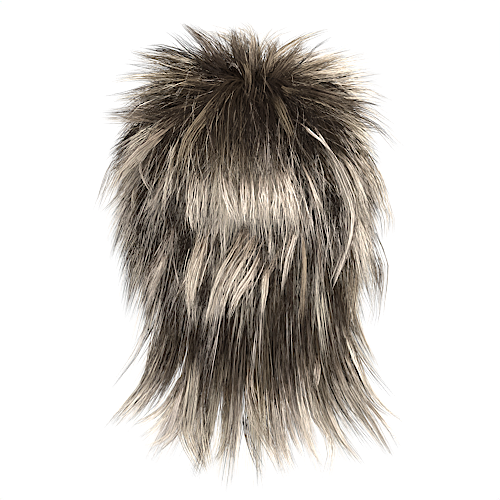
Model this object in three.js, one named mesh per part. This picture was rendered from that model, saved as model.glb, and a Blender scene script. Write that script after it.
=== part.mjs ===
// A layered spiky wig: a stretch cap with an elastic rim band, and eight rows of hair wefts
// sewn round it. Each row is one hollow solid of the outer form of its locks.
// Millimetres, +Z up. The origin is where the crown of the head meets the inside of the cap.
// The nape is towards -Y and the face opening towards +Y.

import * as THREE from 'three';
import { ParametricGeometry } from 'three/addons/geometries/ParametricGeometry.js';
import { mergeVertices } from 'three/addons/utils/BufferGeometryUtils.js';

const { degToRad, lerp } = THREE.MathUtils;

// The head that the cap is sized for: an egg, wide above and drawn in towards the nape
const HEAD_HALF_WIDTH = 80;
const HEAD_HALF_DEPTH = 98;
const CROWN_RISE = 100;
const NAPE_DROP = 140;

// The rows of wefts circle a whorl that lies behind the crown, and grow level lower down
const WHORL_LEAN = 32;
const LEAN_ENDS_AT = 110;

// Cap and rim band
const CAP_WALL = 1.2;
const CAP_SLICES = 40;
const CAP_ROWS = 12;
const BAND_WALL = 1.8;
const BAND_WIDTH = 10;
const SEAM_GAP = 0.3;

// The cap's edge, from the nape round to the forehead. turn is the angle from the nape,
// fall is the angle down from the whorl. Both sides are alike.
const RIM = [
  { turn: 0, fall: 144 },
  { turn: 30, fall: 143.5 },
  { turn: 50, fall: 141 },
  { turn: 65, fall: 136 },
  { turn: 80, fall: 127 },
  { turn: 95, fall: 117 },
  { turn: 110, fall: 106 },
  { turn: 125, fall: 94 },
  { turn: 140, fall: 83 },
  { turn: 155, fall: 75 },
  { turn: 170, fall: 71 },
  { turn: 180, fall: 70 },
];

// Points closer than this are one point
const WELD = 1e-3;

// Hair walls: thin at the sewn root and at the tips, thickest half way
const WALL_EDGE = 1.0;
const WALL_ROWS = 4;
const HAIR_ROUGHNESS = 0.55;
const UNEVEN_LENGTH = 0.14;
const LOCK_STRIDE = 0.618;
const ROW_STRIDE = 0.37;

// One row for each weft row, from the whorl down to the nape.
// root: angle down from the whorl where it is sewn on. span: how far it runs each way from the
// back, 180 being a full ring. wall: thickness. locks: pointed locks along the hem. notch: depth of
// the gaps between them, of the length. back, side and front: how the hair falls there. lift and
// handle: how steeply and how far it stands up from the cap before it bends over. out: how far from
// the head's axis the tips reach. z: their height.
const TIERS = [
  { name: 'whorl_tier', root: 5, span: 180, wall: 4, locks: 12, notch: 0.5,
    back: { lift: 46, handle: 66, out: 153, z: -142 },
    side: { lift: 64, handle: 46, out: 92, z: 48 },
    front: { lift: 66, handle: 50, out: 36, z: 58 } },
  { name: 'top_tier', root: 22, span: 180, wall: 4, locks: 17, notch: 0.5,
    back: { lift: 36, handle: 55, out: 146, z: -156 },
    side: { lift: 56, handle: 46, out: 134, z: 14 },
    front: { lift: 46, handle: 40, out: 92, z: 16 } },
  { name: 'crown_tier', root: 42, span: 180, wall: 5, locks: 22, notch: 0.46,
    back: { lift: 31, handle: 46, out: 140, z: -165 },
    side: { lift: 46, handle: 66, out: 146, z: -118 },
    front: { lift: 40, handle: 42, out: 122, z: -24 } },
  { name: 'fringe_tier', root: 62, span: 180, wall: 5, locks: 24, notch: 0.42,
    back: { lift: 30, handle: 42, out: 134, z: -174 },
    side: { lift: 42, handle: 56, out: 143, z: -162 },
    front: { lift: 22, handle: 42, out: 126, z: -104 } },
  { name: 'temple_tier', root: 80, span: 122, wall: 5, locks: 21, notch: 0.4,
    back: { lift: 24, handle: 44, out: 128, z: -236 },
    side: { lift: 38, handle: 54, out: 137, z: -212 },
    front: { lift: 17, handle: 44, out: 112, z: -176 } },
  { name: 'ear_tier', root: 98, span: 104, wall: 5, locks: 19, notch: 0.36,
    back: { lift: 18, handle: 52, out: 123, z: -262 },
    side: { lift: 30, handle: 58, out: 128, z: -262 },
    front: { lift: 14, handle: 50, out: 96, z: -250 } },
  { name: 'neck_tier', root: 116, span: 84, wall: 5, locks: 15, notch: 0.32,
    back: { lift: 14, handle: 64, out: 118, z: -334 },
    side: { lift: 22, handle: 64, out: 117, z: -298 },
    front: { lift: 10, handle: 64, out: 80, z: -310 } },
  { name: 'nape_tier', root: 133, span: 66, wall: 5, locks: 15, notch: 0.26,
    back: { lift: 8, handle: 100, out: 124, z: -400 },
    side: { lift: 10, handle: 100, out: 172, z: -348 },
    front: { lift: 10, handle: 100, out: 80, z: -348 } },
];

const COLOURS = { cap: 0x2a221d, band: 0x1d1815, root: 0x3a2e26, tip: 0xd8c8ac };

// A direction out of the head's middle
function direction(turn, fall) {
  const lean = WHORL_LEAN * Math.max(0, 1 - fall / LEAN_ENDS_AT);
  const across = Math.sin(degToRad(fall));
  const out = new THREE.Vector3(
    across * Math.sin(degToRad(turn)),
    -across * Math.cos(degToRad(turn)),
    Math.cos(degToRad(fall)),
  );
  return out.applyAxisAngle(new THREE.Vector3(1, 0, 0), degToRad(lean));
}

// A point at a given distance off the head
function onHead(turn, fall, off) {
  const out = direction(turn, fall);
  const half = new THREE.Vector3(
    HEAD_HALF_WIDTH + off,
    HEAD_HALF_DEPTH + off,
    (out.z > 0 ? CROWN_RISE : NAPE_DROP) + off,
  );
  return out.divideScalar(out.clone().divide(half).length()).add(new THREE.Vector3(0, 0, -CROWN_RISE));
}

// The cap's edge at a turn, between the rows of RIM
function rimFall(turn) {
  const side = Math.abs(turn);
  const next = Math.max(1, RIM.findIndex((row) => row.turn >= side));
  const [a, b] = [RIM[next - 1], RIM[next]];
  return lerp(a.fall, b.fall, (side - a.turn) / (b.turn - a.turn));
}

// A mesh from a closed parametric surface, with its seams and poles welded
function weldedMesh(name, colour, surface, slices, stacks) {
  const drawn = new ParametricGeometry(surface, slices, stacks);
  drawn.deleteAttribute('normal');
  drawn.deleteAttribute('uv');
  const geometry = mergeVertices(drawn, WELD);
  const corners = geometry.index.array;
  const kept = [];
  for (let i = 0; i < corners.length; i += 3) {
    const [a, b, c] = corners.slice(i, i + 3);
    if (a !== b && b !== c && c !== a) kept.push(a, c, b);
  }
  geometry.setIndex(kept);
  geometry.computeVertexNormals();
  const material = new THREE.MeshStandardMaterial({ color: colour, roughness: HAIR_ROUGHNESS, metalness: 0 });
  const mesh = new THREE.Mesh(geometry, material);
  mesh.name = name;
  return mesh;
}

// The stretch cap: a thin dome from the whorl to the rim
function cap() {
  const last = 2 * CAP_ROWS + 1;
  return weldedMesh('cap', COLOURS.cap, (u, v, target) => {
    const slice = Math.round(u * CAP_SLICES) % CAP_SLICES;
    const step = Math.round(v * last);
    const outside = step <= CAP_ROWS;
    const row = outside ? step : last - step;
    const turn = (slice / CAP_SLICES) * 360 - 180;
    target.copy(onHead(turn, (rimFall(turn) * row) / CAP_ROWS, outside ? CAP_WALL : 0));
  }, CAP_SLICES, last);
}

// The elastic band that binds the cap's edge, a strip that carries on from the cap's wall
function rimBand() {
  const corner = [
    { down: 2 * SEAM_GAP, off: BAND_WALL },
    { down: SEAM_GAP + BAND_WIDTH, off: BAND_WALL },
    { down: SEAM_GAP + BAND_WIDTH, off: 0 },
    { down: 2 * SEAM_GAP, off: 0 },
  ];
  return weldedMesh('rim_band', COLOURS.band, (u, v, target) => {
    const slice = Math.round(u * CAP_SLICES) % CAP_SLICES;
    const { down, off } = corner[Math.round(v * corner.length) % corner.length];
    const turn = (slice / CAP_SLICES) * 360 - 180;
    const edge = rimFall(turn);
    const perDegree = onHead(turn, edge, 0).distanceTo(onHead(turn, edge + 1, 0));
    target.copy(onHead(turn, edge + down / perDegree, off));
  }, CAP_SLICES, corner.length);
}

// How the hair of a tier falls at a turn, between its side and its back or front
function fallAt(tier, turn) {
  const c = Math.cos(degToRad(turn));
  const end = c >= 0 ? tier.back : tier.front;
  return {
    lift: lerp(tier.side.lift, end.lift, c * c),
    handle: lerp(tier.side.handle, end.handle, c * c),
    tip: new THREE.Vector3(
      tier.side.out * Math.sin(degToRad(turn)),
      -end.out * c,
      lerp(tier.side.z, end.z, c * c),
    ),
  };
}

// The line of one hair of a tier: up from the cap, over and down to its tip
function hairLine(tier, turn) {
  const seat = CAP_WALL + SEAM_GAP + WALL_EDGE / 2;
  const root = onHead(turn, tier.root, seat);
  const down = onHead(turn, tier.root + 1, seat).sub(root).normalize();
  const out = onHead(turn, tier.root, seat + 1).sub(root).normalize();
  const { lift, handle, tip } = fallAt(tier, turn);
  const rise = down.multiplyScalar(Math.cos(degToRad(lift))).addScaledVector(out, Math.sin(degToRad(lift)));
  return new THREE.QuadraticBezierCurve3(root, root.clone().addScaledVector(rise, handle), tip);
}

// The way out of a tier's wall
function wallNormal(tier, turn, along) {
  const line = hairLine(tier, turn);
  const across = hairLine(tier, turn + 0.5).getPoint(along).sub(hairLine(tier, turn - 0.5).getPoint(along));
  return line.getTangent(along).cross(across).normalize();
}

// A spread of values from 0 to 1 that doesn't repeat from lock to lock or from row to row
function uneven(lock, tier) {
  return (lock * LOCK_STRIDE + tier.root * ROW_STRIDE) % 1;
}

// One weft row: a wall of locks, open below, with a notched hem
function hairTier(tier) {
  const ring = tier.span === 180;
  const columns = 2 * tier.locks;
  const profile = 2 * (WALL_ROWS + 1);
  const tipColour = new THREE.Color(COLOURS.root).lerp(new THREE.Color(COLOURS.tip), tier.root / NAPE_DROP);
  return weldedMesh(tier.name, tipColour, (u, v, target) => {
    const column = ring ? Math.round(u * columns) % columns : Math.round(u * columns);
    const step = Math.round(v * profile) % profile;
    const outside = step <= WALL_ROWS;
    const row = outside ? step : profile - 1 - step;
    const turn = lerp(-tier.span, tier.span, column / columns);
    const pointed = column % 2 === 1;
    const length = pointed ? 1 - UNEVEN_LENGTH * uneven(column, tier) : 1 - tier.notch;
    const along = (length * row) / WALL_ROWS;
    const closed = !ring && (column === 0 || column === columns);
    const thick = closed ? 0 : lerp(WALL_EDGE, tier.wall, Math.sin((Math.PI * row) / WALL_ROWS));
    const shift = outside ? thick / 2 : -thick / 2;
    target.copy(hairLine(tier, turn).getPoint(along)).addScaledVector(wallNormal(tier, turn, along), shift);
  }, columns, profile);
}

const wig = new THREE.Group();
wig.add(cap(), rimBand(), ...TIERS.map(hairTier));

export default wig;
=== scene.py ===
import math

import bpy
import numpy as np
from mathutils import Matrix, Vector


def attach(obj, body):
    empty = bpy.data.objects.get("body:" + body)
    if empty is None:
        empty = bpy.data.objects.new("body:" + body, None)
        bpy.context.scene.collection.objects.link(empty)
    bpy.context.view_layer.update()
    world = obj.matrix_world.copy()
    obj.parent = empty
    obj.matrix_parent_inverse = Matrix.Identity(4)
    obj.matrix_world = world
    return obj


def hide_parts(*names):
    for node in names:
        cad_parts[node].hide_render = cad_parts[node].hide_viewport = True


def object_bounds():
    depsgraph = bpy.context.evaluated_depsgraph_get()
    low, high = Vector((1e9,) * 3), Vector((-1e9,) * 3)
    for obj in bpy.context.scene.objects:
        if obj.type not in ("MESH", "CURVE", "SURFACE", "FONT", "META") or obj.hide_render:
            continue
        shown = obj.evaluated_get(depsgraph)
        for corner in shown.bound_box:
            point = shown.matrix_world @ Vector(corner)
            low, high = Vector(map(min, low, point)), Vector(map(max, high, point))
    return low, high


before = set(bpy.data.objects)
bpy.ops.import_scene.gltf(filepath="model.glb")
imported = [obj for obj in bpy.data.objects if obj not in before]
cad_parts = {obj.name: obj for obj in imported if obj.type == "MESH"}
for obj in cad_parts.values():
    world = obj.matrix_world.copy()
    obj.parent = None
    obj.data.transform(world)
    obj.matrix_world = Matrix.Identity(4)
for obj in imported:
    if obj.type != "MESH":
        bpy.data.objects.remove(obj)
cad_low, cad_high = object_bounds()
bpy.ops.object.select_all(action="DESELECT")

# Stretch cap. A thin dome of fine dark net, cut like a swimming cap and knitted on the slant, with a
# seam of stitches where each row of hair is sewn on. Lengths are in metres. A place on the cap is given
# in degrees: turn is the angle round from the nape, fall the angle down from the whorl.
FORM_HALF_WIDTH = 0.080
FORM_HALF_DEPTH = 0.098
CROWN_RISE = 0.100
NAPE_DROP = 0.140
WHORL_LEAN = 32
LEAN_ENDS_AT = 110
CAP_WALL = 0.0012
RIM_TURNS = [0, 30, 50, 65, 80, 95, 110, 125, 140, 155, 170, 180]
RIM_FALLS = [144, 143.5, 141, 136, 127, 117, 106, 94, 83, 75, 71, 70]
CAP_SLICES = 96
CAP_ROWS = 36
POLE_SHARE = 0.002
NET_REPEATS = 150
NET_COLOURS = [(0.35, (0.006, 0.005, 0.004)), (0.9, (0.036, 0.028, 0.023))]
NET_ROUGHNESS = 0.75
NET_BUMP = 0.6
NET_DEPTH = 0.0005
THREAD_HEIGHT = 0.6
SEAM_COLOUR = (0.11, 0.085, 0.065, 1)
FIRST_SEAM = 5
SEAM_APART = 18.3
SEAM_NARROW = 26
STITCHES_ROUND = 170
STITCH_CONTRAST = 0.35
STITCH_HEIGHT = 2.0
TINY = 1e-12


def unit(vectors):
    """Vectors at length one."""
    return vectors / np.maximum(np.linalg.norm(vectors, axis=-1, keepdims=True), TINY)


def on_form(turn, fall, off):
    """Points at a distance off the egg-shaped form that the cap is stretched on."""
    turn, fall, off = np.broadcast_arrays(turn, fall, off)
    lean = np.radians(WHORL_LEAN * np.maximum(0, 1 - fall / LEAN_ENDS_AT))
    across = np.sin(np.radians(fall))
    x = across * np.sin(np.radians(turn))
    y = -across * np.cos(np.radians(turn))
    z = np.cos(np.radians(fall))
    leaned_y = y * np.cos(lean) - z * np.sin(lean)
    leaned_z = y * np.sin(lean) + z * np.cos(lean)
    out = np.stack([x, leaned_y, leaned_z], -1)
    height = np.where(leaned_z > 0, CROWN_RISE, NAPE_DROP)
    half = np.stack([FORM_HALF_WIDTH + off, FORM_HALF_DEPTH + off, height + off], -1)
    return out / np.linalg.norm(out / half, axis=-1, keepdims=True) - np.array([0, 0, CROWN_RISE])


def rim_fall(turn):
    """How far down the cap's edge lies, at a turn."""
    return np.interp(np.abs((np.asarray(turn, float) + 180) % 360 - 180), RIM_TURNS, RIM_FALLS)


def mesh_piece(name, corners, triangles, material, uv):
    """A new smooth object at the origin, from arrays of its corners, triangles and map."""
    mesh = bpy.data.meshes.new(name)
    mesh.vertices.add(len(corners))
    mesh.vertices.foreach_set("co", np.ascontiguousarray(corners, np.float32).ravel())
    mesh.loops.add(triangles.size)
    mesh.loops.foreach_set("vertex_index", triangles.ravel().astype(np.int32))
    mesh.polygons.add(len(triangles))
    mesh.polygons.foreach_set("loop_start", np.arange(0, triangles.size, 3, dtype=np.int32))
    mesh.update(calc_edges=True)
    mesh.polygons.foreach_set("use_smooth", np.ones(len(triangles), bool))
    layer = mesh.uv_layers.new(name="OFBake")
    layer.data.foreach_set("uv", uv[triangles.ravel()].astype(np.float32).ravel())
    mesh.materials.append(material)
    piece = bpy.data.objects.new(name, mesh)
    bpy.context.scene.collection.objects.link(piece)
    return piece


class Wire:
    """An output of a shader node. Sums, differences and products of wires add their Math nodes."""

    def __init__(self, tree, socket):
        self.tree = tree
        self.socket = socket

    def node(self, kind, settings=None, inputs=None, output=0):
        """A new node of a type: its settings first, then the values or links of its sockets."""
        made = self.tree.nodes.new(kind)
        for name, value in (settings or {}).items():
            if name == "stops":
                for _ in value[2:]:
                    made.color_ramp.elements.new(1.0)
                for element, (place, colour) in zip(made.color_ramp.elements, value):
                    element.position = place
                    element.color = (*colour, 1)
            else:
                setattr(made, name, value)
        for name, value in (inputs or {}).items():
            if isinstance(value, Wire):
                self.tree.links.new(value.socket, made.inputs[name])
            else:
                made.inputs[name].default_value = value
        return Wire(self.tree, made.outputs[output])

    def math(self, operation, first, second=0.0):
        """A new Math node."""
        return self.node("ShaderNodeMath", {"operation": operation}, {0: first, 1: second})

    def __add__(self, other):
        return self.math("ADD", self, other)

    def __radd__(self, other):
        return self.math("ADD", other, self)

    def __sub__(self, other):
        return self.math("SUBTRACT", self, other)

    def __rsub__(self, other):
        return self.math("SUBTRACT", other, self)

    def __mul__(self, other):
        return self.math("MULTIPLY", self, other)

    def __rmul__(self, other):
        return self.math("MULTIPLY", other, self)


def new_material(name, **fixed):
    """A material with fixed values set on its shader, and a wire to start its nodes from."""
    material = bpy.data.materials.new(name)
    material.use_nodes = True
    shader = material.node_tree.nodes["Principled BSDF"]
    for socket, value in fixed.items():
        shader.inputs[socket.replace("_", " ")].default_value = value
    return material, Wire(material.node_tree, None)


def plugged(material, **wires):
    """A material with wires joined to its shader."""
    shader = material.node_tree.nodes["Principled BSDF"]
    for socket, wire in wires.items():
        material.node_tree.links.new(wire.socket, shader.inputs[socket.replace("_", " ")])
    return material


def map_places(wire):
    """The place on a piece's map, and its two parts."""
    uv = wire.node("ShaderNodeUVMap", {"uv_map": "OFBake"})
    across, down = [wire.node("ShaderNodeSeparateXYZ", inputs={0: uv}, output=axis) for axis in range(2)]
    return uv, across, down


def ramp(stops, by):
    """A colour from a row of stops."""
    return by.node("ShaderNodeValToRGB", {"stops": stops}, {"Fac": by})


def mixed(by, first, second):
    """A colour between two others."""
    return by.node("ShaderNodeMix", {"data_type": "RGBA"}, {"Factor": by, 6: first, 7: second}, output=2)


def relief(height, strength, depth):
    """A bump from a height."""
    return height.node("ShaderNodeBump", inputs={"Strength": strength, "Distance": depth, "Height": height})


def net_material():
    """Slanting threads in a fine net, with a paler row of stitches along each seam."""
    material, wire = new_material("cap net", Roughness=NET_ROUGHNESS)
    _, across, down = map_places(wire)
    one = wire.math("SINE", (across + down) * (NET_REPEATS * math.pi))
    other = wire.math("SINE", (across - down) * (NET_REPEATS * math.pi))
    thread = wire.math("MAXIMUM", one * one, other * other)
    fall = wire.node("ShaderNodeAttribute", {"attribute_name": "fall"}, output=2)
    row = wire.math("COSINE", (fall - FIRST_SEAM) * (2 * math.pi / SEAM_APART))
    seam = wire.math("POWER", row * 0.5 + 0.5, SEAM_NARROW)
    stitch = wire.math("SINE", across * (STITCHES_ROUND * 2 * math.pi))
    sewn = seam * (stitch * STITCH_CONTRAST + (1 - STITCH_CONTRAST))
    tone = mixed(sewn, ramp(NET_COLOURS, thread), SEAM_COLOUR)
    height = thread * THREAD_HEIGHT + sewn * STITCH_HEIGHT
    return plugged(material, Base_Color=tone, Normal=relief(height, NET_BUMP, NET_DEPTH))


def ring_triangles(rings, around):
    """The triangles of a closed skin of rings of points. The last ring joins the first."""
    triangles = []
    for i in range(rings):
        for j in range(around):
            a = i * around + j
            b = i * around + (j + 1) % around
            c = (i + 1) % rings * around + (j + 1) % around
            d = (i + 1) % rings * around + j
            triangles.append((a, d, c))
            triangles.append((a, c, b))
    return np.array(triangles)


def stretch_cap():
    """The dome, outside down to the rim and inside up again, with the fall of each corner kept."""
    turn = np.linspace(-180, 180, CAP_SLICES, endpoint=False)[None]
    share = np.linspace(POLE_SHARE, 1, CAP_ROWS)[:, None]
    fall = rim_fall(turn) * share
    outside = on_form(turn, fall, CAP_WALL)
    inside = on_form(turn, fall, 0.0)[::-1]
    corners = np.concatenate([outside, inside]).reshape(-1, 3)
    triangles = ring_triangles(2 * CAP_ROWS, CAP_SLICES)
    place = np.arange(len(corners))
    uv = np.stack([place % CAP_SLICES / CAP_SLICES, place // CAP_SLICES / (2 * CAP_ROWS)], -1)
    piece = mesh_piece("stretch_cap", corners, triangles, net_material(), uv)
    kept_fall = piece.data.attributes.new("fall", "FLOAT", "POINT")
    kept_fall.data.foreach_set("value", np.concatenate([fall, fall[::-1]]).astype(np.float32).ravel())
    return piece


cap = stretch_cap()
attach(cap, "root")
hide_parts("cap")

# Rim band. A soft strip of ribbed black elastic, rounded at its edges. It is sewn on all round below the
# cap's edge and grips along the hairline.
BAND_WALL = 0.0018
BAND_START = 0.0006
BAND_WIDTH = 0.0097
BAND_SLICES = 180
BAND_CORNERS = 12
BAND_ROUNDING = 0.5
BAND_COLOURS = [(0.0, (0.010, 0.008, 0.007)), (1.0, (0.045, 0.037, 0.032))]
BAND_ROUGHNESS = 0.75
RIBS = 60.0
RIB_WANDER = 0.4
RIB_BUMP = 0.6
RIB_DEPTH = 0.0004


def elastic_material():
    """Fine ribs across the band, paler on their tops."""
    material, wire = new_material("ribbed elastic", Roughness=BAND_ROUGHNESS)
    uv, _, _ = map_places(wire)
    wave = {"Vector": uv, "Scale": RIBS, "Distortion": RIB_WANDER}
    ribs = wire.node("ShaderNodeTexWave", {"bands_direction": "X"}, wave, output=1)
    return plugged(material, Base_Color=ramp(BAND_COLOURS, ribs), Normal=relief(ribs, RIB_BUMP, RIB_DEPTH))


def squared(wave):
    """A sine or cosine pushed outwards, which turns a circle into a rounded box."""
    return np.sign(wave) * np.abs(wave) ** BAND_ROUNDING


def rim_band():
    """A ring with a rounded flat section, just below the cap's edge."""
    turn = np.linspace(-180, 180, BAND_SLICES, endpoint=False)[:, None]
    angle = np.linspace(0, 2 * math.pi, BAND_CORNERS, endpoint=False)[None]
    down = BAND_START + BAND_WIDTH * (0.5 - 0.5 * squared(np.cos(angle)))
    off = BAND_WALL * (0.5 + 0.5 * squared(np.sin(angle)))
    edge = rim_fall(turn)
    per_degree = np.linalg.norm(on_form(turn, edge + 1, 0) - on_form(turn, edge, 0), axis=-1)
    corners = on_form(turn, edge + down / per_degree, off).reshape(-1, 3)
    triangles = ring_triangles(BAND_SLICES, BAND_CORNERS)[:, ::-1]
    place = np.arange(len(corners))
    uv = np.stack([place // BAND_CORNERS / BAND_SLICES, place % BAND_CORNERS / BAND_CORNERS], -1)
    return mesh_piece("elastic_band", corners, triangles, elastic_material(), uv)


band = rim_band()
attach(band, "root")
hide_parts("rim_band")

# Hair. Eight rows of weft are sewn round the cap. The fibre is a satin synthetic hair, dark brown at
# the root and blond at the end, and each row hangs in locks that run out to points.
MM = 0.001
PER_METRE = 1000
SEAT = CAP_WALL + 0.0008
FIBRE_ROUGHNESS = 0.5
FIBRE_SHINE = 0.08
FIBRE_DULLEST = 0.8
FIBRE_BRIGHTER = 0.3
KINDS = 48
ASH = [(0.0, (0.0030, 0.0012, 0.0006)), (0.3, (0.044, 0.029, 0.021)), (0.6, (0.33, 0.257, 0.210)),
       (1.0, (0.92, 0.81, 0.72))]
GOLD = [(0.0, (0.0045, 0.0020, 0.0009)), (0.3, (0.068, 0.045, 0.026)), (0.6, (0.36, 0.276, 0.178)),
        (1.0, (0.92, 0.815, 0.64))]

# One row for each row of weft, in millimetres and degrees. root is how far down from the whorl it is
# sewn on, span how far it runs each way from the back. back, side and front give how the hair falls
# there: the lift off the cap, the handle before it bends over, how far out the tips reach and their
# height. short is the least share of the length that standing hair has, at the sides and at the front.
# stray is how unevenly the locks stand off, lean how far they drift at the back. pale_below is the
# height at the back where the blond begins, and begin where along the hair it does at the sides. gather
# is how far hanging hair is drawn into locks, taper how unequal the ends are, and steps the lengths that
# a strand is bent in.
TIERS = {
    "whorl_tier": dict(
        root=5, span=180, back=(46, 66, 153, -142), side=(64, 46, 92, 48), front=(66, 50, 36, 58),
        strands=4000, steps=5, locks=34, wisps=300, short=(0.27, 0.15), stray=9, lean=0,
        pale_below=-104, begin=0.22, gather=0.4, taper=0.4, seed=11),
    "top_tier": dict(
        root=22, span=180, back=(36, 55, 146, -156), side=(56, 46, 134, 14), front=(46, 40, 92, 16),
        strands=4600, steps=4, locks=44, wisps=360, short=(0.55, 0.36), stray=9, lean=0,
        pale_below=-103, begin=0.28, gather=0.4, taper=0.4, seed=12),
    "crown_tier": dict(
        root=42, span=180, back=(31, 46, 140, -165), side=(46, 66, 146, -118), front=(40, 42, 122, -24),
        strands=5400, steps=5, locks=50, wisps=380, short=(0.6, 0.6), stray=7, lean=0,
        pale_below=-101, begin=0.45, gather=0.4, taper=0.4, seed=13),
    "fringe_tier": dict(
        root=62, span=180, back=(30, 42, 134, -174), side=(42, 56, 143, -162), front=(22, 42, 126, -104),
        strands=5400, steps=4, locks=54, wisps=380, short=(0.62, 0.62), stray=6, lean=-1,
        pale_below=-99, begin=0.4, gather=0.4, taper=0.4, seed=14),
    "temple_tier": dict(
        root=80, span=122, back=(24, 44, 128, -236), side=(38, 54, 137, -212), front=(17, 44, 112, -176),
        strands=5000, steps=4, locks=40, wisps=320, short=(0.66, 0.66), stray=5, lean=-7,
        pale_below=-158, begin=0.4, gather=0.4, taper=0.4, seed=15),
    "ear_tier": dict(
        root=98, span=104, back=(18, 52, 123, -262), side=(30, 58, 128, -262), front=(14, 50, 96, -250),
        strands=4800, steps=4, locks=34, wisps=300, short=(0.66, 0.66), stray=5, lean=-8,
        pale_below=-185, begin=0.4, gather=0.45, taper=0.4, seed=16),
    "neck_tier": dict(
        root=116, span=84, back=(14, 64, 118, -334), side=(22, 64, 117, -298), front=(10, 64, 80, -310),
        strands=4000, steps=5, locks=26, wisps=230, short=(0.66, 0.66), stray=5, lean=-2,
        pale_below=-325, begin=0.5, gather=0.6, taper=0.35, seed=17),
    "nape_tier": dict(
        root=133, span=66, back=(8, 100, 124, -400), side=(10, 100, 172, -348), front=(10, 100, 80, -348),
        strands=4300, steps=5, locks=20, wisps=190, short=(0.7, 0.7), stray=5, lean=0,
        pale_below=-312, begin=0.58, gather=0.95, taper=0.25, seed=18),
}
ROOTS = [tier["root"] for tier in TIERS.values()]
LIFT, HANDLE, OUT, HEIGHT = range(4)

# The share of blond hair in each row, from the left side round the back to the right side
BLOND_TURNS = [-180, -90, -52, -40, -33, -26, -20, 0, 20, 26, 33, 40, 52, 90, 180]
BLOND = {
    "whorl_tier": [0.08, 0.25, 0.32, 0.3, 0.3, 0.75, 0.95, 0.95, 0.95, 0.7, 0.2, 0.15, 0.4, 0.35, 0.08],
    "top_tier": [0.25, 0.6, 0.66, 0.4, 0.3, 0.75, 0.95, 0.95, 0.95, 0.7, 0.2, 0.15, 0.66, 0.65, 0.25],
    "crown_tier": [0.5, 0.66, 0.7, 0.35, 0.3, 0.75, 0.97, 0.97, 0.97, 0.7, 0.2, 0.2, 0.56, 0.62, 0.5],
    "fringe_tier": [0.6, 0.5, 0.36, 0.2, 0.18, 0.75, 0.97, 0.97, 0.97, 0.7, 0.2, 0.25, 0.56, 0.62, 0.6],
    "temple_tier": [0.6, 0.3, 0.18, 0.12, 0.1, 0.3, 0.32, 0.32, 0.3, 0.22, 0.14, 0.18, 0.4, 0.6, 0.6],
    "ear_tier": [0.6, 0.3, 0.18, 0.12, 0.12, 0.3, 0.35, 0.28, 0.16, 0.1, 0.08, 0.12, 0.36, 0.7, 0.6],
    "neck_tier": [0.6, 0.6, 0.45, 0.3, 0.25, 0.2, 0.14, 0.1, 0.12, 0.14, 0.18, 0.28, 0.55, 0.7, 0.6],
    "nape_tier": [0.85, 0.85, 0.85, 0.85, 0.88, 0.9, 0.9, 0.65, 0.85, 0.88, 0.85, 0.85, 0.85, 0.85, 0.85],
}

# Where the top and the lowest rows are thin: the share of hair kept, from the left side round the back
# to the right side
THIN_TURNS = [-90, -50, -38, 0, 40, 54, 90]
THIN = {
    "whorl_tier": [0.4, 0.65, 1, 1, 1, 0.65, 0.4],
    "top_tier": [0.7, 0.85, 1, 1, 1, 0.85, 0.7],
    "ear_tier": [0.7, 0.8, 1, 1, 1, 1, 1],
    "neck_tier": [0.3, 0.35, 0.9, 1, 0.9, 0.7, 0.6],
    "nape_tier": [0.35, 0.4, 1, 1, 1, 0.5, 0.45],
}

# Where the hair stands further out, in millimetres at the tips
FLARE_TURNS = [-180, -120, -90, -60, -40, -25, 180]
FLARE = {"crown_tier": [0, 5, 12, 12, 4, 0, 0], "fringe_tier": [0, 4, 9, 9, 3, 0, 0]}

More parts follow.
